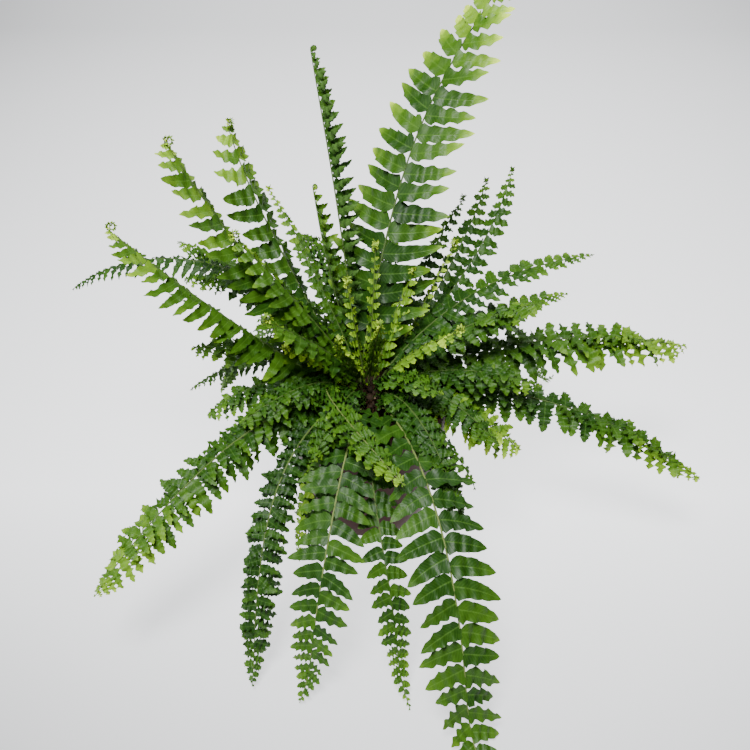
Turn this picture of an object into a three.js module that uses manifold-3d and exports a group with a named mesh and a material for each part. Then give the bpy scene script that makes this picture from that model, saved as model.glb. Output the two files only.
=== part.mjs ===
// A young sword fern in its round plastic nursery pot: the pot, the compost, the rhizome crown and
// one closed solid for each frond, stipe, rachis and leaflets together, because a frond grows as one
// leaf. Millimetres, +Z up, the front towards -Y, the origin at the middle of the pot's underside.
import * as THREE from 'three';
import { mergeVertices } from 'three/addons/utils/BufferGeometryUtils.js';
import Module from 'manifold-3d';

const wasm = await Module();
wasm.setup();

// Pot
const potHeight = 115;
const rimRadius = 65;
const footRadius = 46;
const potWall = 1.2;
const potFloor = 1.6;
const rimBandHeight = 13;
const rimBandProud = 2.2;
const footChamfer = 2;
const ledgeSlope = 1.6; // rise of the inner ledge under the rim band
const drainHoles = 8;
const drainHoleRadius = 4;
const drainRingRadius = 33;
const potSides = 64;
const drainHoleSides = 12;
const drainHoleTurn = 0.07; // keeps the holes' corners off the corners of the turned floor

// Compost and crown
const fitGap = 0.3;
const headspace = 13;
const crownRadius = 30;
const crownHeight = 9;
const crownEdge = 1; // height of the crown's rim above the compost
const crownDome = 0.42 * Math.PI; // how far round its arch the dome has come at its rim
const crownSides = 32;
const crownSteps = 6;
const compostSides = 40;

// Fronds
const frondThickness = 1.2;
const stipeHalfWidth = 0.9;
const leafletRoot = 0.34; // how wide the blade is between two leaflets, as a share of its reach
const baseLift = 1.2; // from the crown to the cut base of a frond
const floorGap = 0.3;
const rimGap = 1.2; // least gap between a frond and the pot's rim that it arches over
const landingRadius = 42; // how gently a trailing frond bends on to the surface under the pot
const earlyBend = 0.65; // under 1, a frond bends more near its base than near its tip
const rollFade = 60; // height above the surface in which a landing frond turns flat
const bareStipe = 0.14; // share of the length below the first leaflets
const broadening = 3.2; // how soon along the blade the leaflets reach their full length
const narrowing = 2.2; // how late the blade narrows to its tip
const crowding = 0.2; // reach of the leaflets beside the crown, as a share of the length up to them
const longFrond = 130;
const longFrondGap = 22; // from one wide section of a long frond's blade to the next
const shortFrondGap = 14;

const turn = THREE.MathUtils.degToRad;
const up = new THREE.Vector3(0, 0, 1);

const finishes = {
  pot: new THREE.MeshStandardMaterial({ color: 0x4a2a20, roughness: 0.5, metalness: 0 }),
  compost: new THREE.MeshStandardMaterial({ color: 0x2b1d14, roughness: 0.95, metalness: 0 }),
  crown: new THREE.MeshStandardMaterial({ color: 0x4d3a22, roughness: 0.9, metalness: 0 }),
  leaf: new THREE.MeshStandardMaterial({ color: 0x3f7a22, roughness: 0.45, metalness: 0 }),
  youngLeaf: new THREE.MeshStandardMaterial({ color: 0x86b83a, roughness: 0.45, metalness: 0 }),
};

const fern = new THREE.Group();

function addPiece(name, geometry, material) {
  const piece = new THREE.Mesh(geometry, material);
  piece.name = name;
  fern.add(piece);
}

// The pot is moulded in one: a tapered wall under a straight rim band, a flat floor with a chamfered
// edge, and a ring of drainage holes.
const bandBottom = potHeight - rimBandHeight;
const bandInner = rimRadius - potWall;
const wallTopRadius = rimRadius - rimBandProud;

function outerRadiusAt(z) {
  return footRadius + (wallTopRadius - footRadius) * (z - footChamfer) / (bandBottom - footChamfer);
}

const innerBandBottom = bandBottom - potWall;
const compostBottomRadius = outerRadiusAt(potFloor) - potWall;
const ledgeRadius = outerRadiusAt(innerBandBottom) - potWall;

function turned(profile, segments) {
  return new THREE.LatheGeometry(profile.map(([r, z]) => new THREE.Vector2(r, z)), segments)
    .rotateX(Math.PI / 2);
}

function solidOf(geometry) {
  const bare = geometry.clone().deleteAttribute('normal').deleteAttribute('uv');
  const merged = mergeVertices(bare, 1e-4);
  return new wasm.Manifold(new wasm.Mesh({
    numProp: 3,
    vertProperties: merged.attributes.position.array,
    triVerts: new Uint32Array(merged.index.array),
  }));
}

function geometryOf(solid) {
  const mesh = solid.getMesh();
  const geometry = new THREE.BufferGeometry();
  geometry.setAttribute('position', new THREE.BufferAttribute(mesh.vertProperties, 3));
  geometry.setIndex(new THREE.BufferAttribute(mesh.triVerts, 1));
  return geometry;
}

function pot() {
  let solid = solidOf(turned([
    [0, 0],
    [footRadius - footChamfer, 0],
    [footRadius, footChamfer],
    [wallTopRadius, bandBottom],
    [rimRadius, bandBottom],
    [rimRadius, potHeight - potWall / 2],
    [rimRadius - potWall / 2, potHeight],
    [bandInner, potHeight],
    [bandInner, bandBottom + ledgeSlope],
    [ledgeRadius, innerBandBottom],
    [compostBottomRadius, potFloor],
    [0, potFloor],
  ], potSides));
  for (let i = 0; i < drainHoles; i += 1) {
    const angle = (i / drainHoles) * 2 * Math.PI;
    const drill = new THREE.CylinderGeometry(drainHoleRadius, drainHoleRadius, 3 * potFloor, drainHoleSides);
    drill.rotateY(drainHoleTurn).rotateX(Math.PI / 2);
    drill.translate(drainRingRadius * Math.cos(angle), drainRingRadius * Math.sin(angle), potFloor / 2);
    solid = solid.subtract(solidOf(drill));
  }
  return geometryOf(solid);
}

// The compost fills the pot up to the headspace, with its top raked flat.
const compostTop = potHeight - headspace;

function compost() {
  const side = (z) => Math.min(outerRadiusAt(z) - potWall, ledgeRadius) - fitGap;
  const bottom = potFloor + fitGap;
  const ledge = Math.min(innerBandBottom, compostTop);
  return turned([[0, bottom], [side(bottom), bottom], [side(ledge), ledge], [side(ledge), compostTop],
    [0, compostTop]], compostSides);
}

// The crown is a low knobbly dome of rhizomes that sits on the compost.
const crownBottom = compostTop + fitGap;

function crownTopAt(radius) {
  return crownBottom + crownHeight * Math.cos(Math.min(radius / crownRadius, 1) * crownDome);
}

function crown() {
  const inset = crownRadius - crownEdge;
  const profile = [[0, crownBottom], [inset, crownBottom], [crownRadius, crownBottom + crownEdge]];
  for (let i = crownSteps; i >= 0; i -= 1) {
    const radius = inset * i / crownSteps;
    profile.push([radius, crownTopAt(radius)]);
  }
  return turned(profile, crownSides);
}

// A frond leaves the crown at its launch angle above level, bends towards its finish angle as it
// grows out, swings sideways by its sweep, and bends on to the surface under the pot when it gets
// there. Over the pot it always points above the rim. Angles are in degrees; azimuth 0 points to the right, +X, and -90 to the front, -Y.
function midrib(frond, steps) {
  const base = turn(frond.base ?? frond.azimuth);
  const fromAxis = frond.ring * crownRadius;
  const launch = turn(frond.launch);
  const heading0 = turn(frond.azimuth);
  const level = floorGap + frondThickness / 2;
  const overRim = potHeight + rimGap + frondThickness / 2;
  const place = new THREE.Vector3(
    fromAxis * Math.cos(base),
    fromAxis * Math.sin(base),
    crownTopAt(fromAxis) + baseLift,
  );
  const path = [];
  for (let i = 0; i <= steps; i += 1) {
    const t = i / steps;
    let pitch = launch + turn(frond.finish - frond.launch) * t ** (frond.bend ?? earlyBend);
    const toRim = rimRadius - Math.hypot(place.x, place.y);
    if (toRim > 0) pitch = Math.max(pitch, Math.atan2(overRim - place.z, toRim));
    const height = place.z - level;
    if (height < landingRadius) {
      pitch = Math.max(pitch, -Math.acos(1 - Math.max(height, 0) / landingRadius));
    }
    const heading = heading0 + turn(frond.sweep ?? 0) * t;
    const along = new THREE.Vector3(
      Math.cos(pitch) * Math.cos(heading),
      Math.cos(pitch) * Math.sin(heading),
      Math.sin(pitch),
    );
    const roll = turn(frond.roll ?? 0) * Math.min(1, 3 * t) * Math.min(1, Math.max(height, 0) / rollFade);
    const side = new THREE.Vector3(-Math.sin(heading), Math.cos(heading), 0)
      .applyAxisAngle(along, roll);
    path.push({ place: place.clone(), along, side, face: along.clone().cross(side) });
    place.addScaledVector(along, frond.length / steps);
    place.z = Math.max(place.z, level);
  }
  return path;
}

// Half the blade's width: a bare stipe, then leaflets that are longest a third of the way up and
// shorten to the tip. Near the crowded crown the leaflets stay as short as the space between fronds.
function reachAt(frond, t) {
  const x = Math.max((t - bareStipe) / (1 - bareStipe), 0);
  const shape = Math.min(1, broadening * x) * (1 - x ** narrowing);
  const room = crowding * t * frond.length;
  return Math.max(Math.min(frond.reach * shape, room), stipeHalfWidth);
}

function frondBlade(frond) {
  const gap = frond.length > longFrond ? longFrondGap : shortFrondGap;
  const sections = 2 * Math.round(frond.length / gap);
  const path = midrib(frond, sections);
  const blade = new THREE.BoxGeometry(1, 1, 1, sections, 1, 1);
  const corner = new THREE.Vector3();
  const place = blade.getAttribute('position');
  for (let i = 0; i < place.count; i += 1) {
    corner.fromBufferAttribute(place, i);
    const station = Math.round((corner.x + 0.5) * sections);
    const reach = reachAt(frond, station / sections);
    const half = station % 2 === 0 ? Math.max(reach * leafletRoot, stipeHalfWidth) : reach;
    const { place: middle, side, face } = path[station];
    corner.copy(middle)
      .addScaledVector(side, 2 * half * place.getY(i))
      .addScaledVector(face, frondThickness * place.getZ(i));
    place.setXYZ(i, corner.x, corner.y, corner.z);
  }
  return blade;
}

// Each frond's ring is how far out on the crown it grows, from 0 at the middle to 1 at the edge.
const trailingFronds = [
  { azimuth: -72, ring: 0.85, launch: 40, finish: -92, length: 302, reach: 28, sweep: -4 },
  { azimuth: -97, ring: 0.85, launch: 42, finish: -90, length: 230, reach: 26, sweep: -17 },
  { azimuth: -90, ring: 0.85, launch: 28, finish: -86, length: 222, reach: 14, sweep: 22 },
  { azimuth: -124, ring: 0.85, launch: 34, finish: -82, length: 222, reach: 16, sweep: 32 },
  { azimuth: -139, ring: 0.85, launch: 38, finish: -42, length: 218, reach: 19, sweep: 4, bend: 0.55 },
  { azimuth: 118, ring: 0.85, launch: 42, finish: -88, length: 270, reach: 20, sweep: 6 },
  { azimuth: 92, ring: 0.85, launch: 44, finish: -90, length: 280, reach: 22, sweep: -4 },
  { azimuth: 66, ring: 0.85, launch: 40, finish: -90, length: 262, reach: 20, sweep: -6 },
  { azimuth: 40, ring: 0.85, launch: 40, finish: -84, length: 268, reach: 19, sweep: 4 },
];

const archingFronds = [
  { azimuth: -9, ring: 0.8, launch: 20, finish: -37, length: 231, reach: 15, sweep: -4 },
  { azimuth: 9, ring: 0.66, launch: 29, finish: -20, length: 232, reach: 23, sweep: 4 },
  { azimuth: 18, ring: 0.5, launch: 44, finish: -2, length: 150, reach: 20, sweep: 2 },
  { azimuth: 28, ring: 0.36, launch: 55, finish: -6, length: 192, reach: 17, sweep: -8 },
  { azimuth: 36, ring: 0.7, launch: 42, finish: 22, length: 194, reach: 11, sweep: 37, bend: 0.75 },
  { azimuth: 46, ring: 0.7, launch: 39, finish: 29, length: 173, reach: 11, sweep: 24 },
  { azimuth: 58, ring: 0.4, launch: 54, finish: 14, length: 160, reach: 9, sweep: 4 },
  { azimuth: -30, ring: 0.7, launch: 34, finish: -38, length: 102, reach: 20, sweep: 4 },
  { azimuth: -13, ring: 0.5, launch: 48, finish: -16, length: 112, reach: 17, sweep: -4 },
  { azimuth: -64, ring: 0.8, launch: 58, finish: -78, length: 126, reach: 7, sweep: 20 },
  { azimuth: -54, ring: 0.76, launch: 44, finish: -66, length: 101, reach: 8, sweep: 20 },
  { azimuth: -92, base: 194, ring: 1, launch: 60, finish: -31, length: 140, reach: 12, sweep: 55 },
  { azimuth: -115, ring: 0.8, launch: 55, finish: -98, length: 149, reach: 7, sweep: 8 },
  { azimuth: -153, ring: 0.74, launch: 38, finish: -46, length: 100, reach: 18, sweep: 6 },
  { azimuth: -172, ring: 0.66, launch: 40, finish: -42, length: 104, reach: 17, sweep: 4 },
  { azimuth: 174, ring: 0.56, launch: 42, finish: -8, length: 114, reach: 17, sweep: 4 },
  { azimuth: 165, ring: 0.85, launch: 34, finish: -48, length: 128, reach: 9, sweep: 5 },
  { azimuth: 155, ring: 0.7, launch: 68, finish: -40, length: 242, reach: 11, sweep: 24, bend: 0.9 },
  { azimuth: 138, ring: 0.7, launch: 46, finish: -30, length: 200, reach: 16, sweep: 0 },
  { azimuth: 106, ring: 0.6, launch: 50, finish: -24, length: 190, reach: 18, sweep: 4 },
  { azimuth: 84, ring: 0.66, launch: 48, finish: -28, length: 190, reach: 16, sweep: 0 },
  { azimuth: -110, ring: 0.5, launch: 58, finish: -30, length: 92, reach: 13, sweep: 0 },
  { azimuth: -38, ring: 0.5, launch: 54, finish: -40, length: 104, reach: 17, sweep: 0 },
  { azimuth: 220, ring: 0.56, launch: 62, finish: -24, length: 100, reach: 12, sweep: 0 },
  { azimuth: 4, ring: 0.4, launch: 58, finish: 10, length: 128, reach: 15, sweep: 0 },
  { azimuth: 147, ring: 0.5, launch: 52, finish: 0, length: 175, reach: 13, sweep: 0 },
  { azimuth: -54, ring: 0.32, launch: 68, finish: 0, length: 84, reach: 12, sweep: 0 },
  { azimuth: -64, ring: 0.62, launch: 58, finish: -58, length: 132, reach: 15, sweep: 2 },
  { azimuth: 146, ring: 0.88, launch: 38, finish: -78, length: 165, reach: 14, sweep: 0 },
  { azimuth: -111, ring: 0.85, launch: 25, finish: -96, length: 132, reach: 16, sweep: 0 },
];

const uprightFronds = [
  { azimuth: 180, base: 202, ring: 0.68, launch: 38, finish: 38, length: 190, reach: 19, sweep: -16, roll: 25 },
  { azimuth: 178, ring: 0.4, launch: 55, finish: 53, length: 204, reach: 20, sweep: -28, roll: 20 },
  { azimuth: 160, base: 150, ring: 0.4, launch: 60, finish: 49, length: 196, reach: 16, sweep: -44, roll: 20 },
  { azimuth: 178, base: 225, ring: 0.24, launch: 67, finish: 43, length: 140, reach: 10, sweep: -12 },
  { azimuth: 109, ring: 0.5, launch: 68, finish: 58, length: 225, reach: 10, sweep: 0, roll: 60 },
  { azimuth: 132, base: 116, ring: 0.74, launch: 70, finish: 64, length: 134, reach: 8, sweep: -20, roll: 30 },
  { azimuth: 131, base: 150, ring: 0.26, launch: 66, finish: 37, length: 150, reach: 5, sweep: 0 },
  { azimuth: 78, base: 165, ring: 0.18, launch: 65, finish: 43, length: 322, reach: 30, sweep: -47 },
  { azimuth: 214, ring: 0.3, launch: 70, finish: 34, length: 104, reach: 12, sweep: -4 },
];

const youngFronds = [
  { azimuth: -70, ring: 0.08, launch: 84, finish: 60, length: 66, reach: 11, sweep: 0 },
  { azimuth: 46, ring: 0.22, launch: 74, finish: 50, length: 82, reach: 10, sweep: 0 },
  { azimuth: -124, ring: 0.2, launch: 76, finish: 50, length: 62, reach: 11, sweep: 0 },
  { azimuth: 38, ring: 0.6, launch: 62, finish: 44, length: 106, reach: 4, sweep: 10 },
  { azimuth: 80, ring: 0.12, launch: 84, finish: 66, length: 98, reach: 5, sweep: 0 },
  { azimuth: 150, ring: 0.12, launch: 86, finish: 70, length: 78, reach: 5, sweep: -30 },
  { azimuth: -160, ring: 0.44, launch: 66, finish: 24, length: 64, reach: 10, sweep: 0 },
  { azimuth: -22, ring: 0.3, launch: 68, finish: 30, length: 84, reach: 11, sweep: 0 },
];

addPiece('pot', pot(), finishes.pot);
addPiece('compost', compost(), finishes.compost);
addPiece('crown', crown(), finishes.crown);

function addFronds(kind, fronds, material) {
  fronds.forEach((frond, i) => {
    addPiece(`${kind}_frond_${String(i + 1).padStart(2, '0')}`, frondBlade(frond), material);
  });
}

addFronds('trailing', trailingFronds, finishes.leaf);
addFronds('arching', archingFronds, finishes.leaf);
addFronds('upright', uprightFronds, finishes.leaf);
addFronds('young', youngFronds, finishes.youngLeaf);

export default fern;
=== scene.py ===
"""A young sword fern in its plastic nursery pot, standing on a pale studio surface."""
import math

import bpy
import numpy as np
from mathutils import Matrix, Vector


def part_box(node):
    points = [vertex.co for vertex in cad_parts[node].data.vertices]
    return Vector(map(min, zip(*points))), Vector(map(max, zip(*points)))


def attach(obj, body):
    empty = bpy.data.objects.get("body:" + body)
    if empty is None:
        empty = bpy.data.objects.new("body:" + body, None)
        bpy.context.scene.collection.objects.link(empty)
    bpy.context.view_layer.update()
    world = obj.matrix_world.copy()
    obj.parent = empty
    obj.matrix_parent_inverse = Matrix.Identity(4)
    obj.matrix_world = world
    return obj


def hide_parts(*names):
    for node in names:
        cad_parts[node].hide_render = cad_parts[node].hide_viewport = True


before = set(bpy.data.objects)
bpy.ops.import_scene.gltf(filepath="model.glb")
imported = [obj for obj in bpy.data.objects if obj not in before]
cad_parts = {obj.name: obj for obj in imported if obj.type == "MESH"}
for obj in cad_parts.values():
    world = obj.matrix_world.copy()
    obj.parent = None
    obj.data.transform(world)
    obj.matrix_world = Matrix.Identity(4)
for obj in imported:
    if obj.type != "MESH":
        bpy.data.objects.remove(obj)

scene = bpy.context.scene
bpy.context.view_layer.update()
bpy.ops.object.select_all(action="DESELECT")


# ---------------------------------------------------------------------------------------------
# The studio: a pale surface that the pot stands on, glowing with a painted pool of light, a pale
# surround, and soft light from a large window-like panel in front and above, with weaker fill from
# the sides.
crown_low, crown_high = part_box("crown")
crown_eye = Vector((0, 0, (crown_low.z + crown_high.z) / 2))

FLOOR_RADIUS = 6
FLOOR_DROP = 0.0004
# Emission strengths of the floor's painted pool of light: in the middle, and how much it drops far
# off, in front and to the sides.
GLOW_MIDDLE, GLOW_FAR, GLOW_NEAR, GLOW_ASIDE = 2.60, -1.15, -1.50, -1.00
CAMERA_DISTANCE = 0.606
CAMERA_ELEVATION = math.radians(38)
CAMERA_FIELD = math.radians(48)
CAMERA_SHIFT = (0.00933, 0.01733)


def linked(tree, kind, **settings):
    """A new node with the given settings."""
    node = tree.nodes.new(kind)
    for key, value in settings.items():
        setattr(node, key, value)
    return node


def maths(tree, operation, *values):
    """A maths node on sockets or numbers."""
    node = linked(tree, "ShaderNodeMath", operation=operation)
    for place, value in zip(node.inputs, values):
        if isinstance(value, (int, float)):
            place.default_value = value
        else:
            tree.links.new(value, place)
    return node.outputs[0]


def clamped(tree, value):
    """A share kept between nothing and one."""
    return maths(tree, "MINIMUM", maths(tree, "MAXIMUM", value, 0), 1)


bpy.ops.mesh.primitive_circle_add(
    vertices=96, radius=FLOOR_RADIUS, fill_type="NGON", location=(0, 0, -FLOOR_DROP))
floor = bpy.context.object
floor.name = "studio_floor"
bpy.ops.object.transform_apply(location=True, rotation=False, scale=False)
backdrop = bpy.data.materials.new("pale backdrop with painted glow")
backdrop.use_nodes = True
tree = backdrop.node_tree
shader = tree.nodes["Principled BSDF"]
shader.inputs["Base Color"].default_value = (0.34, 0.345, 0.35, 1)
shader.inputs["Roughness"].default_value = 0.9
shader.inputs["Specular IOR Level"].default_value = 0.1
# The floor glows with painted light: its emission is strongest in the middle and fades far off, in
# front of the pot and to the sides. This painted pool of light also lights the plant from below.
shader.inputs["Emission Color"].default_value = (0.80, 0.81, 0.83, 1)
where = linked(tree, "ShaderNodeSeparateXYZ")
tree.links.new(linked(tree, "ShaderNodeTexCoord").outputs["Object"], where.inputs[0])
across, deep = where.outputs[0], where.outputs[1]
far = clamped(tree, maths(tree, "MULTIPLY", deep, 0.75))
near = clamped(tree, maths(tree, "MULTIPLY", deep, -4))
width = maths(tree, "MAXIMUM", maths(tree, "MULTIPLY_ADD", deep, 0.4, 0.44), 0.2)
aside = maths(tree, "DIVIDE", maths(tree, "SUBTRACT", across, 0.06), width)
aside = maths(tree, "MINIMUM", maths(tree, "MULTIPLY", aside, aside), 1)
glow = maths(tree, "MULTIPLY_ADD", far, GLOW_FAR, GLOW_MIDDLE)
glow = maths(tree, "MULTIPLY_ADD", near, GLOW_NEAR, glow)
glow = maths(tree, "MULTIPLY_ADD", aside, GLOW_ASIDE, glow)
tree.links.new(glow, shader.inputs["Emission Strength"])
floor.data.materials.append(backdrop)

world = bpy.data.worlds.new("pale surround")
world.use_nodes = True
world.node_tree.nodes["Background"].inputs["Color"].default_value = (0.93, 0.95, 1.0, 1)
world.node_tree.nodes["Background"].inputs["Strength"].default_value = 0.12
scene.world = world


def soft_panel(name, place, size, watts):
    """A square light panel that faces the crown."""
    bpy.ops.object.light_add(type="AREA", location=place)
    panel = bpy.context.object
    panel.name = name
    panel.data.size = size
    panel.data.energy = watts
    panel.rotation_euler = (crown_eye - Vector(place)).to_track_quat("-Z", "Y").to_euler()


soft_panel("key_panel", (-0.25, -0.6, 1.7), 0.6, 60)
soft_panel("left_panel", (-1.5, -0.3, 0.9), 1.0, 10)
soft_panel("back_panel", (0.9, 1.3, 1.1), 1.0, 10)

back = Vector((0, -math.cos(CAMERA_ELEVATION), math.sin(CAMERA_ELEVATION)))
bpy.ops.object.camera_add(location=crown_eye + back * CAMERA_DISTANCE)
camera = bpy.context.object
camera.name = "camera"
camera.rotation_euler = (-back).to_track_quat("-Z", "Y").to_euler()
camera.data.angle = CAMERA_FIELD
camera.data.shift_x, camera.data.shift_y = CAMERA_SHIFT
camera.data.clip_start = 0.01
scene.camera = camera


# ---------------------------------------------------------------------------------------------
# Fronds. Each is one leaf: a wiry stipe that goes on as the rachis, with two rows of leaflets
# that shorten towards a soft, often still unrolling tip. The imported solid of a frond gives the
# path of its rachis, the way its blade faces and how far its leaflets reach.
RACHIS_STEP = 0.0012
STIPE_RADIUS = 0.00062
TIP_RADIUS = 0.00022
REST_HEIGHT = 0.0007
BARE_STIPE = 0.07
LEAFLET_STATIONS = 16
SMALLEST_LEAFLET = 0.0016
ROLLED_LEAFLET = 0.0026
ROLLED_GAP = 0.0016
CURL_STEP = 0.0006
CURL_TURN = 2.9 * math.pi
CURL_CENTRE = 3.9 * math.pi
CURL_SHARE = 0.63


def node_sections(name):
    """Middles, half widths and width directions of a frond's sections, from its base to its tip."""
    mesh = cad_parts[name].data
    points = np.array([v.co for v in mesh.vertices], float)
    _, first, same = np.unique(
        np.round(points, 6), axis=0, return_index=True, return_inverse=True)
    corners = points[first]
    same = same.reshape(-1)
    near = [set() for _ in corners]
    for edge in mesh.edges:
        a, b = same[edge.vertices[0]], same[edge.vertices[1]]
        if a != b:
            near[a].add(b)
            near[b].add(a)
    start = np.argmin(np.linalg.norm(corners - np.array(crown_eye), axis=1))
    ring = list(np.argsort(np.linalg.norm(corners - corners[start], axis=1))[:4])
    seen = set(ring)
    middles, halves, sides = [], [], []
    while ring:
        section = corners[ring]
        middle = section.mean(0)
        spread = section - middle
        side = np.linalg.svd(spread)[2][0]
        if sides and np.dot(side, sides[-1]) < 0:
            side = -side
        middles.append(middle)
        halves.append(np.abs(spread @ side).max())
        sides.append(side)
        ring = sorted({n for corner in ring for n in near[corner]} - seen)
        seen.update(ring)
    middles, halves, sides = np.array(middles), np.array(halves), np.array(sides)
    heading = middles[-1] - middles[0]
    if np.cross([0, 0, 1], heading) @ sides.mean(0) < 0:
        sides = -sides
    return middles, halves, sides


def eased(points, count):
    """This many evenly spaced points on a smooth curve through the given ones."""
    gaps = np.linalg.norm(np.diff(points[:, :3], axis=0), axis=1)
    at = np.concatenate([[0], np.cumsum(gaps)])
    slope = np.gradient(points, at, axis=0)
    want = np.linspace(0, at[-1], count)
    k = np.clip(np.searchsorted(at, want, side="right") - 1, 0, len(at) - 2)
    span = (at[k + 1] - at[k])[:, None]
    u = ((want - at[k])[:, None]) / span
    return ((2 * u**3 - 3 * u**2 + 1) * points[k] + (u**3 - 2 * u**2 + u) * span * slope[k]
            + (3 * u**2 - 2 * u**3) * points[k + 1] + (u**3 - u**2) * span * slope[k + 1])


def unit(vectors):
    """The directions of vectors, each of length one."""
    return vectors / np.linalg.norm(vectors, axis=-1, keepdims=True)


# One leaflet is modelled flat, once: a strip with a row of faces on each side of the midrib,
# doubled underneath and closed along its rim. x runs from root to tip and y from edge to edge.
bpy.ops.mesh.primitive_grid_add(x_subdivisions=LEAFLET_STATIONS, y_subdivisions=2, size=2)
pattern = bpy.context.object
pattern.name = "leaflet_pattern"
bpy.ops.object.mode_set(mode="EDIT")
bpy.ops.mesh.select_all(action="SELECT")
bpy.ops.mesh.duplicate()
bpy.ops.mesh.flip_normals()
bpy.ops.transform.translate(value=(0, 0, -2))
bpy.ops.object.mode_set(mode="OBJECT")
for vertex in pattern.data.vertices:
    on_rim = max(abs(vertex.co.x), abs(vertex.co.y)) > 0.999
    vertex.co.z = 0 if on_rim else vertex.co.z + 1
bpy.ops.object.mode_set(mode="EDIT")
bpy.ops.mesh.select_all(action="SELECT")
bpy.ops.mesh.remove_doubles(threshold=0.001)
bpy.ops.object.mode_set(mode="OBJECT")
flat = np.array([v.co for v in pattern.data.vertices], float)
flat[:, 0] = (flat[:, 0] + 1) / 2
for edge in pattern.data.edges:
    edge.use_edge_sharp = all(flat[v][2] == 0 for v in edge.vertices)
under = pattern.data.attributes.new("under", "FLOAT", "FACE")
under.data.foreach_set("value", [float(p.normal.z < 0) for p in pattern.data.polygons])
blade = pattern.data.uv_layers.new(name="blade")
for loop, spot in zip(pattern.data.loops, blade.data):
    spot.uv = (flat[loop.vertex_index][0], flat[loop.vertex_index][1] / 2 + 0.5)
for label in ("tone", "fresh", "stem"):
    pattern.data.attributes.new(label, "FLOAT", "POINT")
for polygon in pattern.data.polygons:
    polygon.use_smooth = True
station = np.round(flat[:, 0] * LEAFLET_STATIONS).astype(int)


def leaflet_shape(chance, length, width, habit):
    """Where a leaflet's corners go, as outwards, ahead and up: its outline, ear, crisped edge,
    fold along the midrib, twist and curl."""
    x, y, z = flat.T
    edge = np.abs(y)
    ahead_half = y > 0
    rows = np.arange(LEAFLET_STATIONS + 1)
    share = rows / LEAFLET_STATIONS

    half = np.clip(0.30 + 7 * share, 0, 1) * np.clip(1 - share ** habit["blunt"], 0, 1) ** 0.75
    half = np.maximum(half, 0.02)
    jag = habit["jag"] * np.where(rows % 2, 1, -1) * (0.4 + 0.9 * chance.random((2, len(rows))))
    spread = half[station] * (1 + jag[ahead_half.astype(int), station] * edge)
    ear = habit["ear"] * np.exp(-(((x - 0.10) / 0.08) ** 2))
    spread = spread + np.where(ahead_half, ear, 0)
    across = y * spread * width

    phase = 2 * math.pi * chance.random((2,))
    waves = habit["waves"] * (0.85 + 0.3 * chance.random())
    wave = np.sin(2 * math.pi * waves * share[None, :] + phase[:, None])
    crisp = habit["crisp"] * (chance.random((2, len(rows))) - 0.5) * 2
    ripple = habit["ripple"] * wave * np.clip(4 * share, 0, 1) * np.clip(5 * (1 - share), 0, 1)
    lift = width * edge * half[station] * (ripple + crisp)[ahead_half.astype(int), station]
    fold = habit["fold"] + 0.25 * (chance.random() - 0.5)
    lift = lift + np.abs(across) * math.sin(fold)
    across = across * math.cos(fold)
    lift = lift + z * habit["thick"]

    turn = (habit["twist"] * (chance.random() * 2 - 1)) * x**1.2
    across, lift = (across * np.cos(turn) - lift * np.sin(turn),
                    across * np.sin(turn) + lift * np.cos(turn))

    droop = habit["droop"] * (0.5 + chance.random())
    hook = habit["hook"] * (0.4 + 1.2 * chance.random())
    pitch = -droop * share + hook * np.clip((share - 0.55) / 0.45, 0, 1) ** 1.5
    step = length / LEAFLET_STATIONS
    out = np.concatenate([[0], np.cumsum(np.cos(pitch[:-1]) * step)])
    up = np.concatenate([[0], np.cumsum(np.sin(pitch[:-1]) * step)])
    crook = (habit["crook"] + 0.16 * (chance.random() - 0.5)) * length
    return np.stack([out[station] - lift * np.sin(pitch[station]),
                     across + crook * x**2,
                     up[station] + lift * np.cos(pitch[station])], axis=1)


plain_habit = dict(blunt=2.6, jag=0.03, ear=0.45, waves=3.6, ripple=0.42, crisp=0.06, fold=0.18,
                   thick=0.00016, twist=0.35, droop=0.35, hook=0.25, crook=0.12, rise=-0.08,
                   lean=80, tip_lean=60, wide=0.46, taper=3.5, frill=0.0)
habits = {
    "smooth": plain_habit,
    "curly": dict(plain_habit, blunt=3.2, jag=0.20, ear=0.3, ripple=0.55, crisp=0.40, fold=0.10,
                  twist=0.8, droop=0.4, hook=-0.4, crook=0.04, rise=-0.45, wide=0.50,
                  taper=7, frill=0.9),
    "small": dict(plain_habit, blunt=2.0, jag=0.08, ear=0.5, waves=2.6, ripple=0.35, crisp=0.20,
                  fold=0.30, twist=0.6, droop=0.55, hook=-0.3, rise=-0.40, wide=0.44, taper=6),
    "edge_on": dict(plain_habit, blunt=2.2, jag=0.12, waves=2.6, ripple=0.4, crisp=0.25, fold=0.5,
                    twist=0.9, droop=0.2, hook=1.3, rise=0.9, wide=0.42, taper=7),
    "young": dict(plain_habit, blunt=2.3, jag=0.08, ear=0.5, waves=3.0, ripple=0.45, crisp=0.18,
                  fold=0.25, twist=0.6, droop=0.45, hook=0.8, crook=0.14, rise=-0.40, wide=0.48,
                  taper=7),
}
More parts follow.
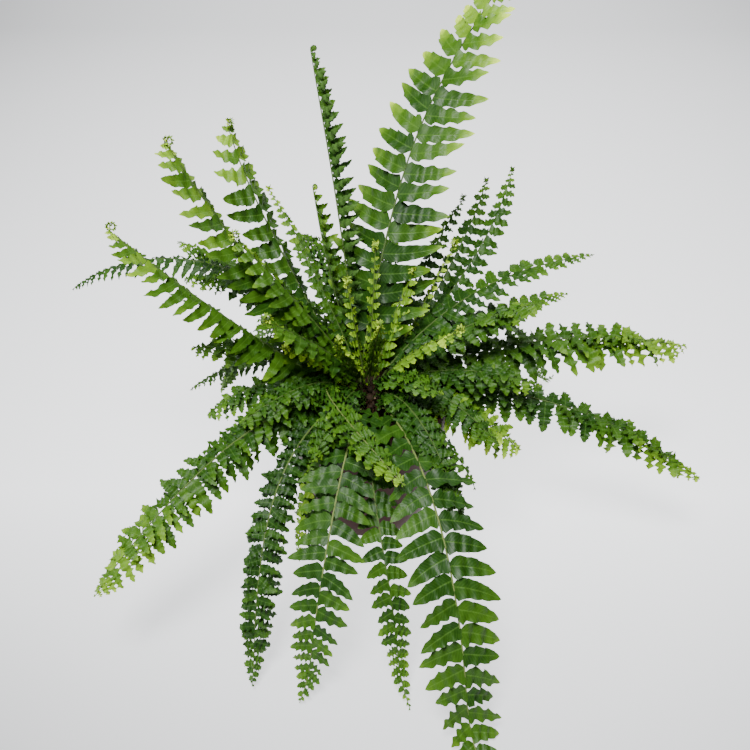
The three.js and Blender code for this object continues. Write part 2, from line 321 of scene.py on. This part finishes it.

# What each frond looks like: its habit, the gap between leaflets of a row in millimetres, how
# much longer its leaflets are than its packed blade shows, how fresh its green is at the base and
# how much fresher at the tip, how pale its rachis is, the first radius of its unrolling tip in
# millimetres, and how bright its leaflets' tips are (glow): partly their fresher green and partly a
# painted glow that stands in for light let through them.
frond_looks = {
    "trailing": dict(habit="smooth", gap=10, more=1.12, fresh=0.22, tip=0.30, pale=0.4, coil=0),
    "arching": dict(habit="curly", gap=8, more=1.3, fresh=0.22, tip=0.35, pale=0.2, coil=0),
    "upright": dict(habit="young", gap=9, more=1.9, fresh=0.30, tip=0.55, pale=0.2, coil=3.0),
    "young": dict(habit="young", gap=7, more=1.25, fresh=0.62, tip=0.30, pale=0.4, coil=2.4),
    "trailing_frond_01": dict(gap=13.5, fresh=0.24, pale=0.8, more=1.25),
    "trailing_frond_02": dict(gap=10.5, fresh=0.22, pale=0.9, more=1.28),
    "trailing_frond_03": dict(gap=9.5, fresh=0.24, more=1.3),
    "trailing_frond_04": dict(gap=7, habit="curly", fresh=0.12, tip=0.3, more=1.2),
    "trailing_frond_05": dict(gap=8, habit="curly", fresh=0.26, tip=0.5, more=1.4),
    "arching_frond_01": dict(gap=10, fresh=0.22, tip=0.5, more=1.5),
    "arching_frond_02": dict(gap=10, fresh=0.34, tip=0.45, more=1.5),
    "arching_frond_03": dict(gap=8.5, habit="smooth", fresh=0.22, tip=0.4, pale=0.5, more=1.35),
    "arching_frond_04": dict(gap=9.4, habit="smooth", fresh=0.22, tip=0.4, more=1.3),
    "arching_frond_05": dict(gap=9.4, habit="small", coil=1.8, more=1.45),
    "arching_frond_06": dict(gap=8.4, habit="small", coil=1.6, more=1.45),
    "arching_frond_07": dict(gap=8.4, habit="small", coil=2.4, more=1.45),
    "arching_frond_08": dict(gap=6, fresh=0.5, tip=0.3, more=1.75),
    "arching_frond_10": dict(gap=7, habit="small", more=1.2),
    "arching_frond_11": dict(gap=7, habit="small", more=1.2),
    "arching_frond_12": dict(gap=8, fresh=0.3, pale=0.8, more=1.3),
    "arching_frond_13": dict(gap=6, habit="small", fresh=0.5, more=1.2),
    "arching_frond_14": dict(gap=6, fresh=0.22, more=1.5),
    "arching_frond_15": dict(gap=6, fresh=0.22, more=1.5),
    "arching_frond_17": dict(gap=6, habit="small"),
    "arching_frond_18": dict(gap=7, habit="small", fresh=0.12, tip=0.2, more=1.5),
    "arching_frond_22": dict(gap=6, fresh=0.16, more=1.5),
    "arching_frond_23": dict(gap=6.5, fresh=0.2, more=1.3),
    "arching_frond_24": dict(gap=6, fresh=0.2, more=1.6),
    "arching_frond_28": dict(gap=6.5, fresh=0.18, more=1.4),
    "arching_frond_30": dict(gap=6, fresh=0.12, tip=0.3, more=1.5),
    "upright_frond_01": dict(gap=8.5, fresh=0.36, tip=0.45),
    "upright_frond_02": dict(gap=10.5),
    "upright_frond_03": dict(gap=12.5, fresh=0.26),
    "upright_frond_05": dict(gap=8.5, habit="edge_on", fresh=0.14, tip=0.35, coil=2.6),
    "upright_frond_06": dict(gap=8, habit="edge_on", fresh=0.25, coil=2.6),
    "upright_frond_07": dict(gap=6, habit="small", coil=1.2),
    "upright_frond_08": dict(gap=14, habit="smooth", fresh=0.18, tip=0.7, coil=0, glow=1.5,
                             more=1.55),
}


def frond_path(name, coil, chance):
    """The rachis as close points with its directions, and the blade's reach."""
    middles, halves, sides = node_sections(name)
    start = middles[0] - (middles[1] - middles[0]) * 0.35
    middles = np.vstack([start, middles])
    sides = np.vstack([sides[0], sides])
    length = np.linalg.norm(np.diff(middles, axis=0), axis=1).sum()
    path = eased(np.hstack([middles, sides]), int(length / RACHIS_STEP))
    points, side = path[:, :3], unit(path[:, 3:])
    at = np.linspace(0, 1, len(points))
    drift = np.sin(at * math.pi * (1.5 + chance.random()) + 6 * chance.random())
    points = points + side * (drift * length * 0.006 * at * (1 - at) * 4)[:, None]
    along = unit(np.gradient(points, axis=0))
    side = unit(side - along * (side * along).sum(1)[:, None])
    if coil:
        # The unrolling tip: the rachis goes on as a tightening spiral towards its upper face.
        heading, facing = along[-1], np.cross(along[-1], side[-1])
        place, turned, spiral = points[-1], 0.0, []
        while turned < CURL_TURN:
            turned += CURL_STEP / (coil * (1 - turned / CURL_CENTRE))
            direction = heading * math.cos(turned) + facing * math.sin(turned)
            place = place + direction * CURL_STEP
            spiral.append((place, direction))
        points = np.vstack([points, [p for p, _ in spiral]])
        along = np.vstack([along, [d for _, d in spiral]])
        side = np.vstack([side, np.repeat(side[-1:], len(spiral), axis=0)])
    return points, along, side, halves.max()


def rachis_tube(name, points, radii):
    """The stipe and rachis: a round tube that narrows to the tip."""
    curve = bpy.data.curves.new(name, "CURVE")
    curve.dimensions = "3D"
    curve.bevel_depth = 1
    curve.bevel_resolution = 1
    curve.use_fill_caps = True
    line = curve.splines.new("POLY")
    line.points.add(len(points) - 1)
    line.points.foreach_set("co", np.hstack([points, np.ones((len(points), 1))]).reshape(-1))
    line.points.foreach_set("radius", radii)
    tube = bpy.data.objects.new(name, curve)
    scene.collection.objects.link(tube)
    bpy.context.view_layer.objects.active = tube
    tube.select_set(True)
    bpy.ops.object.convert(target="MESH")
    return bpy.context.object


def copied(pattern, corners, name):
    """A copy of the pattern with its own mesh, its corners moved to these places."""
    mesh = pattern.data.copy()
    mesh.vertices.foreach_set("co", corners.reshape(-1))
    piece = bpy.data.objects.new(name, mesh)
    scene.collection.objects.link(piece)
    return piece


def set_everywhere(mesh, **values):
    """Gives every corner of a mesh the same value of each attribute."""
    for label, value in values.items():
        layer = mesh.attributes.get(label) or mesh.attributes.new(label, "FLOAT", "POINT")
        layer.data.foreach_set("value", np.full(len(mesh.vertices), value))


def grow_frond(name):
    """One frond: its rachis with a row of leaflets on each side, joined into one piece."""
    chance = np.random.default_rng(sum(ord(c) * (i + 7) for i, c in enumerate(name)))
    look = dict(frond_looks[name.split("_")[0]], glow=0.35)
    look.update(frond_looks.get(name, {}))
    habit = habits[look["habit"]]
    points, along, side, reach = frond_path(name, look["coil"] / 1000, chance)
    reach = reach * look["more"]
    face = np.cross(along, side)
    at = np.concatenate([[0], np.cumsum(np.linalg.norm(np.diff(points, axis=0), axis=1))])
    whole = at[-1]
    rolled = whole - look["coil"] / 1000 * CURL_TURN * CURL_SHARE

    stout = STIPE_RADIUS * min(1, 0.5 + reach / 0.04)
    radii = stout * (1 - at / whole) ** 0.7 + TIP_RADIUS
    points[:, 2] = np.maximum(points[:, 2], radii + REST_HEIGHT)
    kept = np.unique(np.concatenate([np.arange(0, len(points), 3), [len(points) - 1]]))
    bpy.ops.object.select_all(action="DESELECT")
    frond = rachis_tube("fern_" + name, points[kept], radii[kept])
    for layer in list(frond.data.uv_layers):
        frond.data.uv_layers.remove(layer)
    frond.data.uv_layers.new(name="blade")
    set_everywhere(frond.data, tone=0.5, fresh=look["fresh"], stem=1.0)
    for polygon in frond.data.polygons:
        polygon.use_smooth = True

    for hand in (1, -1):
        s = whole * BARE_STIPE + look["gap"] / 1000 * (0.6 if hand > 0 else 1.1)
        while s < whole - CURL_STEP:
            share = s / whole
            open_share = min(s / rolled, 1)
            size = min(1, 0.5 + 2.6 * open_share) * (1 - open_share ** habit["taper"]) ** 0.8
            if s > rolled:
                size = 0
            length = max(reach * size, ROLLED_LEAFLET if look["coil"] else SMALLEST_LEAFLET)
            length *= 0.9 + 0.2 * chance.random()
            gap = look["gap"] / 1000 * (0.30 + 0.70 * min(size * 1.25, 1))
            if s > rolled:
                gap = ROLLED_GAP
            width = min(gap * habit["wide"], length * 0.42) * (0.92 + 0.16 * chance.random())
            k = min(int(np.searchsorted(at, s)), len(points) - 1)

            frills = 1 + (chance.random() < habit["frill"] and open_share < 0.85)
            for frill in range(frills):
                shrunk = 1 - 0.25 * frill
                shape = leaflet_shape(chance, length * shrunk, width * shrunk, habit)
                lean = habit["lean"] + (habit["tip_lean"] - habit["lean"]) * share**3
                lean = math.radians(lean + (10 + 30 * frill) * (chance.random() - 0.5))
                rise = habit["rise"] + 0.3 * (chance.random() - 0.5)
                rise = rise + 0.2 * share**2 + 0.6 * frill
                outwards = side[k] * hand * math.sin(lean) + along[k] * math.cos(lean)
                outwards = outwards * math.cos(rise) + face[k] * math.sin(rise)
                ahead = unit(along[k] - outwards * (along[k] @ outwards))
                upwards = np.cross(ahead, outwards) * hand
                placed = (points[k] + shape[:, :1] * outwards + shape[:, 1:2] * ahead
                          + shape[:, 2:] * upwards)
                placed[:, 2] = np.maximum(placed[:, 2], REST_HEIGHT + 0.0001 * (flat[:, 2] + 1))

                leaflet = copied(pattern, placed, "leaflet")
                if hand > 0:
                    leaflet.data.flip_normals()
                set_everywhere(leaflet.data, tone=chance.random(), stem=0.0,
                               fresh=look["fresh"] + look["tip"] * share**2.5)
                leaflet.select_set(True)
            s += gap * (0.93 + 0.14 * chance.random())

    bpy.ops.object.join()
    frond.data.materials.clear()
    frond.data.materials.append(frond_material(look["pale"], look["glow"]))
    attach(frond, "root")
    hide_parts(name)


def reading(tree, label):
    """The value of one of the mesh's attributes."""
    return linked(tree, "ShaderNodeAttribute", attribute_name=label).outputs["Fac"]


def blended(tree, share, first, second):
    """A colour mix of two sockets or colours."""
    node = linked(tree, "ShaderNodeMix", data_type="RGBA")
    for at, value in ((0, share), (6, first), (7, second)):
        if isinstance(value, (int, float)):
            node.inputs[at].default_value = value
        elif isinstance(value, tuple):
            node.inputs[at].default_value = (*value, 1)
        else:
            tree.links.new(value, node.inputs[at])
    return node.outputs[2]


frond_materials = {}


def frond_material(pale, glow):
    """Living leaf: yellow-green when young and deep green with age, a lighter midrib and slanting
    veins, a paler matt underside, a satin upper side, and some light let through."""
    if (pale, glow) in frond_materials:
        return frond_materials[pale, glow]
    material = bpy.data.materials.new(f"fern blade {pale:.1f} {glow:.2f}")
    frond_materials[pale, glow] = material
    material.use_nodes = True
    tree = material.node_tree
    shader = tree.nodes["Principled BSDF"]
    output = tree.nodes["Material Output"]

    uv = linked(tree, "ShaderNodeUVMap", uv_map="blade")
    split = linked(tree, "ShaderNodeSeparateXYZ")
    tree.links.new(uv.outputs[0], split.inputs[0])
    out_share = split.outputs[0]
    off_middle = maths(tree, "ABSOLUTE", maths(tree, "SUBTRACT", split.outputs[1], 0.5))
    place = linked(tree, "ShaderNodeTexCoord").outputs["Object"]
    mottle = linked(tree, "ShaderNodeTexNoise")
    tree.links.new(place, mottle.inputs["Vector"])
    mottle.inputs["Scale"].default_value = 170
    mottle.inputs["Detail"].default_value = 3

    fresh, tone = reading(tree, "fresh"), reading(tree, "tone")
    stem, below = reading(tree, "stem"), reading(tree, "under")
    # Lighter leaflet tips are partly the fresher green of young tissue and partly a painted glow
    # that stands in for light let through them. glow sets how strong it is.
    leaf_tip = maths(tree, "MULTIPLY", maths(tree, "POWER", out_share, 3.0), 0.14 + 0.28 * glow)
    growth = maths(tree, "ADD", fresh, leaf_tip)
    growth = maths(tree, "MULTIPLY_ADD", tone, 0.24, growth)
    growth = maths(tree, "MULTIPLY_ADD", mottle.outputs["Fac"], 0.30, growth)
    growth = maths(tree, "SUBTRACT", growth, 0.27)
    ramp = linked(tree, "ShaderNodeValToRGB")
    tree.links.new(growth, ramp.inputs[0])
    stops = ramp.color_ramp.elements
    stops[0].position, stops[0].color = 0.0, (0.004, 0.026, 0.0015, 1)
    stops[1].position, stops[1].color = 1.0, (0.72, 0.95, 0.075, 1)
    for position, colour in ((0.28, (0.014, 0.058, 0.003)), (0.55, (0.058, 0.150, 0.007)),
                             (0.78, (0.230, 0.420, 0.020))):
        stops.new(position).color = (*colour, 1)

    midrib = maths(tree, "MAXIMUM", maths(tree, "MULTIPLY_ADD", off_middle, -18.0, 1.0), 0.0)
    slant = maths(tree, "MULTIPLY", out_share, 95.0)
    slant = maths(tree, "MULTIPLY_ADD", off_middle, -26.0, slant)
    veins = maths(tree, "MULTIPLY_ADD", maths(tree, "SINE", slant), 0.5, 0.5)
    veins = maths(tree, "POWER", veins, 3.0)
    colour = blended(tree, maths(tree, "MULTIPLY", midrib, 0.35), ramp.outputs[0],
                     (0.14, 0.30, 0.04))
    colour = blended(tree, maths(tree, "MULTIPLY", veins, 0.08), colour, (0.15, 0.32, 0.04))
    colour = blended(tree, maths(tree, "MULTIPLY", below, 0.35), colour, (0.11, 0.23, 0.04))
    stem_colour = tuple(a * (1 - pale) + b * pale for a, b in
                        zip((0.040, 0.095, 0.014), (0.20, 0.26, 0.07)))
    colour = blended(tree, stem, colour, stem_colour)
    tree.links.new(colour, shader.inputs["Base Color"])

    roughness = maths(tree, "MULTIPLY_ADD", mottle.outputs["Fac"], 0.16, 0.36)
    roughness = maths(tree, "MULTIPLY_ADD", below, 0.2, roughness)
    tree.links.new(roughness, shader.inputs["Roughness"])
    shader.inputs["Specular IOR Level"].default_value = 0.24

    relief = maths(tree, "MULTIPLY", mottle.outputs["Fac"], 0.5)
    relief = maths(tree, "MULTIPLY_ADD", veins, 0.35, relief)
    relief = maths(tree, "MULTIPLY_ADD", midrib, -0.8, relief)
    bump = linked(tree, "ShaderNodeBump")
    bump.inputs["Strength"].default_value = 0.4
    bump.inputs["Distance"].default_value = 0.0003
    tree.links.new(relief, bump.inputs["Height"])
    tree.links.new(bump.outputs[0], shader.inputs["Normal"])

    through = linked(tree, "ShaderNodeBsdfTranslucent")
    tree.links.new(blended(tree, 0.5, colour, (0.20, 0.42, 0.006)), through.inputs["Color"])
    mix = linked(tree, "ShaderNodeMixShader")
    mix.inputs[0].default_value = 0.14
    tree.links.new(shader.outputs[0], mix.inputs[1])
    tree.links.new(through.outputs[0], mix.inputs[2])
    tree.links.new(mix.outputs[0], output.inputs["Surface"])
    return material


for node_name in sorted(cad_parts):
    if "_frond_" in node_name:
        grow_frond(node_name)
bpy.data.objects.remove(pattern)
bpy.ops.object.select_all(action="DESELECT")


# ---------------------------------------------------------------------------------------------
# Pot. An injection-moulded polypropylene nursery pot in dark reddish brown: a thin tapered wall
# under a straight rim band, with soft edges, a flat floor and a ring of drainage holes. It is
# spun from its cross-section, the holes are cut through, and faces meeting at shallow angles are
# shaded smooth.
pot_low, pot_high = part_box("pot")
POT_SIDES = 128
POT_WALL = 0.0012
POT_FLOOR = 0.0016
BAND_HEIGHT = 0.013
BAND_PROUD = 0.0022
FOOT_SHARE = 46 / 65
FOOT_EDGE = 0.002
DRAIN_HOLES = 8
DRAIN_RING = 0.033
DRAIN_RADIUS = 0.004

rim_radius = pot_high.x
pot_height = pot_high.z
foot_radius = rim_radius * FOOT_SHARE
band_foot = pot_height - BAND_HEIGHT
wall_top = rim_radius - BAND_PROUD


def wall_radius(z):
    """Outer radius of the tapered wall."""
    return foot_radius + (wall_top - foot_radius) * (z - FOOT_EDGE) / (band_foot - FOOT_EDGE)


profile = [(0, 0.0012), (foot_radius * 0.45, 0.0008), (foot_radius - 0.006, 0.0006),
           (foot_radius - 0.005, 0), (foot_radius - 0.002, 0), (foot_radius - 0.0006, 0.0006),
           (foot_radius, FOOT_EDGE)]
profile += [(wall_radius(z), z) for z in np.linspace(FOOT_EDGE, band_foot, 9)[1:]]
profile += [(rim_radius - 0.0008, band_foot), (rim_radius - 0.0002, band_foot + 0.0003),
            (rim_radius, band_foot + 0.0012), (rim_radius, pot_height - 0.0009),
            (rim_radius - 0.0003, pot_height - 0.0002), (rim_radius - 0.0006, pot_height),
            (rim_radius - 0.0010, pot_height - 0.0002),
            (rim_radius - POT_WALL, pot_height - 0.001),
            (rim_radius - POT_WALL, band_foot + 0.0016)]
profile += [(wall_radius(z) - POT_WALL, z) for z in np.linspace(band_foot - POT_WALL, 0.003, 8)]
profile += [(foot_radius - POT_WALL - 0.001, POT_FLOOR), (0, POT_FLOOR)]

bpy.ops.mesh.primitive_plane_add(size=0.01)
pot = bpy.context.object
pot.name = "nursery_pot"
pot.data.clear_geometry()
pot.data.from_pydata([(r, 0, z) for r, z in profile],
                     [(i, i + 1) for i in range(len(profile) - 1)], [])
bpy.ops.object.mode_set(mode="EDIT")
bpy.ops.mesh.select_all(action="SELECT")
bpy.ops.mesh.spin(steps=POT_SIDES, angle=2 * math.pi, center=(0, 0, 0), axis=(0, 0, 1))
bpy.ops.mesh.select_all(action="SELECT")
bpy.ops.mesh.remove_doubles(threshold=0.00002)
bpy.ops.mesh.normals_make_consistent(inside=False)
bpy.ops.object.mode_set(mode="OBJECT")
for hole in range(DRAIN_HOLES):
    angle = 2 * math.pi * hole / DRAIN_HOLES
    bpy.ops.mesh.primitive_cylinder_add(
        vertices=32, radius=DRAIN_RADIUS, depth=0.008,
        location=(DRAIN_RING * math.cos(angle), DRAIN_RING * math.sin(angle), 0.001))
    drill = bpy.context.object
    cut = pot.modifiers.new("drain", "BOOLEAN")
    cut.object = drill
    cut.solver = "EXACT"
    bpy.ops.object.select_all(action="DESELECT")
    bpy.context.view_layer.objects.active = pot
    pot.select_set(True)
    bpy.ops.object.modifier_apply(modifier="drain")
    bpy.data.objects.remove(drill)
bpy.ops.object.shade_smooth_by_angle(angle=math.radians(35))

plastic = bpy.data.materials.new("moulded terracotta-brown plastic")
plastic.use_nodes = True
tree = plastic.node_tree
shader = tree.nodes["Principled BSDF"]
place = linked(tree, "ShaderNodeTexCoord").outputs["Object"]
cloud = linked(tree, "ShaderNodeTexNoise")
tree.links.new(place, cloud.inputs["Vector"])
cloud.inputs["Scale"].default_value = 28
cloud.inputs["Detail"].default_value = 4
grain = linked(tree, "ShaderNodeTexNoise")
tree.links.new(place, grain.inputs["Vector"])
grain.inputs["Scale"].default_value = 1600
grain.inputs["Detail"].default_value = 2
brown = blended(tree, cloud.outputs["Fac"], (0.024, 0.006, 0.004), (0.040, 0.010, 0.007))
tree.links.new(brown, shader.inputs["Base Color"])
tree.links.new(maths(tree, "MULTIPLY_ADD", cloud.outputs["Fac"], 0.14, 0.36),
               shader.inputs["Roughness"])
shader.inputs["Specular IOR Level"].default_value = 0.06
bump = linked(tree, "ShaderNodeBump")
bump.inputs["Strength"].default_value = 0.10
bump.inputs["Distance"].default_value = 0.0001
tree.links.new(grain.outputs["Fac"], bump.inputs["Height"])
tree.links.new(bump.outputs[0], shader.inputs["Normal"])
pot.data.materials.clear()
pot.data.materials.append(plastic)
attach(pot, "root")
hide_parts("pot")
bpy.ops.object.select_all(action="DESELECT")


# ---------------------------------------------------------------------------------------------
# Compost. Moist dark peat that fills the pot to a finger's width below the rim, crumbly on top
# with coir fibres and a few white grains of perlite. One displaced plug, with the crumbs, fibres
# and grains pressed into its top.
compost_low, compost_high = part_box("compost")
compost_radius = compost_high.x
compost_top = compost_high.z
PLUG_GAP = 0.0006
CRUMB_WAVES = 26
CRUMB_LIFT = 0.004
COIR_FIBRES = 70
chance = np.random.default_rng(41)

bpy.ops.mesh.primitive_cylinder_add(
    vertices=96, radius=1, depth=compost_high.z - compost_low.z,
    location=(0, 0, (compost_high.z + compost_low.z) / 2), end_fill_type="NOTHING")
plug = bpy.context.object
plug.name = "compost_plug"
bpy.ops.object.transform_apply(location=True, rotation=False, scale=False)
bpy.ops.object.mode_set(mode="EDIT")
bpy.ops.mesh.select_all(action="SELECT")
bpy.ops.mesh.remove_doubles(threshold=0.00002)
bpy.ops.mesh.select_all(action="DESELECT")
bpy.ops.object.mode_set(mode="OBJECT")
plug_foot = wall_radius(compost_low.z) - POT_WALL - PLUG_GAP
for vertex in plug.data.vertices:
    radius = plug_foot if vertex.co.z < compost_top / 2 else compost_radius
    vertex.co.x *= radius
    vertex.co.y *= radius
for level, rings in ((compost_high.z, 40), (compost_low.z, 2)):
    bpy.ops.object.mode_set(mode="EDIT")
    bpy.ops.mesh.select_all(action="DESELECT")
    bpy.ops.object.mode_set(mode="OBJECT")
    for edge in plug.data.edges:
        edge.select = all(abs(plug.data.vertices[v].co.z - level) < 1e-6 for v in edge.vertices)
    for vertex in plug.data.vertices:
        vertex.select = abs(vertex.co.z - level) < 1e-6
    bpy.ops.object.mode_set(mode="EDIT")
    for ring in range(rings - 1):
        bpy.ops.mesh.extrude_region_move()
        share = (rings - ring - 1.5) / (rings - ring - 0.5)
        bpy.ops.transform.resize(value=(share, share, 1), center_override=(0, 0, level))
    bpy.ops.mesh.merge(type="CENTER")
    bpy.ops.object.mode_set(mode="OBJECT")
bpy.ops.object.mode_set(mode="EDIT")
bpy.ops.mesh.select_all(action="SELECT")
bpy.ops.mesh.normals_make_consistent(inside=False)
bpy.ops.object.mode_set(mode="OBJECT")
crumb_field = [(chance.normal(size=3) * 900, chance.random() * 6.28) for _ in range(CRUMB_WAVES)]
for vertex in plug.data.vertices:
    if vertex.co.z > compost_top - 0.0002:
        spot = np.array(vertex.co)
        bumps = sum(math.sin(wave @ spot + shift) for wave, shift in crumb_field) / CRUMB_WAVES
        reach = math.hypot(vertex.co.x, vertex.co.y) / compost_radius
        vertex.co.z += CRUMB_LIFT * bumps * min(1, 6 * (1 - reach)) - 0.0005
bpy.ops.object.shade_smooth()


def joined(pieces, name, material):
    """The pieces as one object of this name and material."""
    bpy.ops.object.select_all(action="DESELECT")
    for piece in pieces:
        piece.select_set(True)
    bpy.context.view_layer.objects.active = pieces[0]
    bpy.ops.object.join()
    whole = bpy.context.object
    whole.name = name
    whole.data.materials.clear()
    whole.data.materials.append(material)
    return whole


def scattered(name, count, sizes, flatness, sink, material):
    """Many small lumps strewn over the compost, modelled once and copied."""
    bpy.ops.object.select_all(action="DESELECT")
    bpy.ops.mesh.primitive_ico_sphere_add(subdivisions=1, radius=1)
    lump = bpy.context.object
    shape = np.array([v.co for v in lump.data.vertices], float)
    shape = shape * (1 + 0.22 * np.sin(shape @ chance.normal(size=(3, 3)) * 3)).mean(1)[:, None]
    copies = []
    for _ in range(count):
        angle, reach = chance.random() * 2 * math.pi, math.sqrt(chance.random())
        size = sizes[0] + (sizes[1] - sizes[0]) * chance.random() ** 2
        reach *= compost_radius - sizes[1] * 1.2
        spin = np.linalg.qr(chance.normal(size=(3, 3)))[0]
        if np.linalg.det(spin) < 0:
            spin[:, 0] *= -1
        spread = (shape * size * np.array([1, 0.8, flatness])) @ spin
        spread += [reach * math.cos(angle), reach * math.sin(angle), compost_top + size * sink]
        copies.append(copied(lump, spread, "lump"))
    bpy.data.objects.remove(lump)
    strewn = joined(copies, name, material)
    bpy.ops.object.shade_smooth_by_angle(angle=math.radians(50))
    return strewn


def earthy(name, dark, light, scale, roughness, relief):
    """A rough natural surface, mottled between two colours."""
    material = bpy.data.materials.new(name)
    material.use_nodes = True
    tree = material.node_tree
    shader = tree.nodes["Principled BSDF"]
    place = linked(tree, "ShaderNodeTexCoord").outputs["Object"]
    noise = linked(tree, "ShaderNodeTexNoise")
    tree.links.new(place, noise.inputs["Vector"])
    noise.inputs["Scale"].default_value = scale
    noise.inputs["Detail"].default_value = 6
    noise.inputs["Roughness"].default_value = 0.65
    share = maths(tree, "MULTIPLY_ADD", noise.outputs["Fac"], 2.4, -0.7)
    tree.links.new(blended(tree, share, dark, light), shader.inputs["Base Color"])
    shader.inputs["Roughness"].default_value = roughness
    shader.inputs["Specular IOR Level"].default_value = 0.2
    bump = linked(tree, "ShaderNodeBump")
    bump.inputs["Strength"].default_value = 0.8
    bump.inputs["Distance"].default_value = relief
    tree.links.new(noise.outputs["Fac"], bump.inputs["Height"])
    tree.links.new(bump.outputs[0], shader.inputs["Normal"])
    return material


peat = earthy("moist peat", (0.010, 0.006, 0.0035), (0.055, 0.033, 0.019), 420, 0.9, 0.0006)
plug.data.materials.clear()
plug.data.materials.append(peat)
crumbs = scattered("compost_crumbs", 620, (0.0007, 0.0026), 0.7, -0.1, peat)
perlite = scattered("perlite_grains", 46, (0.0008, 0.0017), 0.85, 0.15, earthy(
    "perlite", (0.40, 0.38, 0.34), (0.74, 0.72, 0.67), 900, 0.8, 0.0002))

fibres = []
for _ in range(COIR_FIBRES):
    angle = chance.random() * 2 * math.pi
    reach = math.sqrt(chance.random()) * compost_radius * 0.82
    heading = chance.random() * 2 * math.pi
    middle = np.array([reach * math.cos(angle), reach * math.sin(angle), compost_top])
    steps = np.linspace(-0.5, 0.5, 7) * (0.006 + 0.010 * chance.random())
    bend = steps**2 * (chance.random() - 0.5) * 90
    line = middle + np.stack([steps * math.cos(heading) - bend * math.sin(heading),
                              steps * math.sin(heading) + bend * math.cos(heading),
                              0.0005 + 0.0012 * chance.random() - steps**2 * 12], axis=1)
    bpy.ops.object.select_all(action="DESELECT")
    fibres.append(rachis_tube("coir_fibre", line, np.full(7, 0.00016 + 0.00014 * chance.random())))
coir = joined(fibres, "coir_fibres", earthy(
    "coir", (0.07, 0.036, 0.016), (0.20, 0.115, 0.05), 300, 0.8, 0.0001))
for piece in (plug, crumbs, perlite, coir):
    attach(piece, "root")
    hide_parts("compost")
bpy.ops.object.select_all(action="DESELECT")


# ---------------------------------------------------------------------------------------------
# Crown. A low clump of short rhizomes, furred with brown papery scales, with the stubs of old
# stipes between the growing ones. Knobs and scales are modelled once each, copied over a dome
# and joined. The rhizomes and scales are coloured very dark: partly their own dark brown, partly
# painted shade for the hollow at the middle of the plant.
crown_radius = crown_high.x
crown_rise = crown_high.z - crown_low.z
CROWN_ARCH = 0.42 * math.pi
KNOBS = 90
KNOB_TURN = 2.39996
SCALES = 900
OLD_STIPES = 26


def crown_surface(radius):
    """Height of the crown's dome at a distance from its middle."""
    return crown_low.z + crown_rise * math.cos(min(radius / crown_radius, 1) * CROWN_ARCH)


chance = np.random.default_rng(17)
bpy.ops.mesh.primitive_ico_sphere_add(subdivisions=2, radius=1)
knob = bpy.context.object
round_shape = np.array([v.co for v in knob.data.vertices], float)
knobs = []
for i in range(KNOBS):
    radius = crown_radius * 0.94 * math.sqrt((i + 0.5) / KNOBS)
    angle = i * KNOB_TURN + 0.3 * chance.random()
    size = 0.0026 + 0.0016 * chance.random()
    rough = 1 + 0.12 * np.sin(round_shape @ chance.normal(size=(3, 2)) * 4).sum(1)
    shape = round_shape * rough[:, None] * size * np.array([1, 1, 1.15])
    shape += [radius * math.cos(angle), radius * math.sin(angle),
              crown_surface(radius) - size * 0.9]
    shape[:, 2] = np.maximum(shape[:, 2], crown_low.z)
    knobs.append(copied(knob, shape, "knob"))
bpy.data.objects.remove(knob)
# Painted shade: the rhizome browns are darkened for the shaded hollow at the plant's middle, on top
# of their own dark brown.
clump = joined(knobs, "rhizome_clump", earthy(
    "rhizome", (0.008, 0.005, 0.003), (0.034, 0.020, 0.010), 260, 0.85, 0.0005))
bpy.ops.object.shade_smooth()

bpy.ops.mesh.primitive_cone_add(vertices=5, radius1=0.28, depth=1, location=(0, 0, 0.5))
scale_pattern = bpy.context.object
bpy.ops.object.transform_apply(location=True, rotation=False, scale=False)
spike = np.array([v.co for v in scale_pattern.data.vertices], float)
scales = []
for _ in range(SCALES):
    radius = crown_radius * math.sqrt(chance.random())
    angle = chance.random() * 2 * math.pi
    outwards = np.array([math.cos(angle), math.sin(angle), 0.0])
    root = outwards * radius + [0, 0, crown_surface(radius) - 0.0008]
    axis = unit(outwards * (radius / crown_radius) + chance.normal(size=3) * 0.45 + [0, 0, 0.9])
    across = unit(np.cross(axis, chance.normal(size=3)))
    third = np.cross(axis, across)
    length = 0.0018 + 0.0022 * chance.random()
    shape = root + length * (spike[:, :1] * across + spike[:, 1:2] * third * 0.35
                             + spike[:, 2:] * axis)
    scales.append(copied(scale_pattern, shape, "scale"))
bpy.data.objects.remove(scale_pattern)
# Painted shade: the scales' browns are darkened for the shaded hollow at the plant's middle, on top
# of their own brown.
fur = joined(scales, "rhizome_scales", earthy(
    "chaffy scales", (0.018, 0.009, 0.004), (0.070, 0.036, 0.015), 500, 0.7, 0.0001))

stubs = []
for _ in range(OLD_STIPES):
    radius = crown_radius * (0.35 + 0.6 * chance.random())
    angle = chance.random() * 2 * math.pi
    outwards = np.array([math.cos(angle), math.sin(angle), 0.0])
    root = outwards * radius + [0, 0, crown_surface(radius) - 0.001]
    axis = unit(outwards * 0.6 + chance.normal(size=3) * 0.3 + [0, 0, 1.0])
    line = root + axis * np.linspace(0, 0.004 + 0.007 * chance.random(), 4)[:, None]
    bpy.ops.object.select_all(action="DESELECT")
    stubs.append(rachis_tube("stub", line, np.full(4, 0.0007 + 0.0003 * chance.random())))
old_stipes = joined(stubs, "old_stipe_stubs", earthy(
    "dry stipe", (0.030, 0.016, 0.008), (0.090, 0.052, 0.024), 350, 0.6, 0.0001))
for piece in (clump, fur, old_stipes):
    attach(piece, "root")
    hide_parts("crown")
bpy.ops.object.select_all(action="DESELECT")
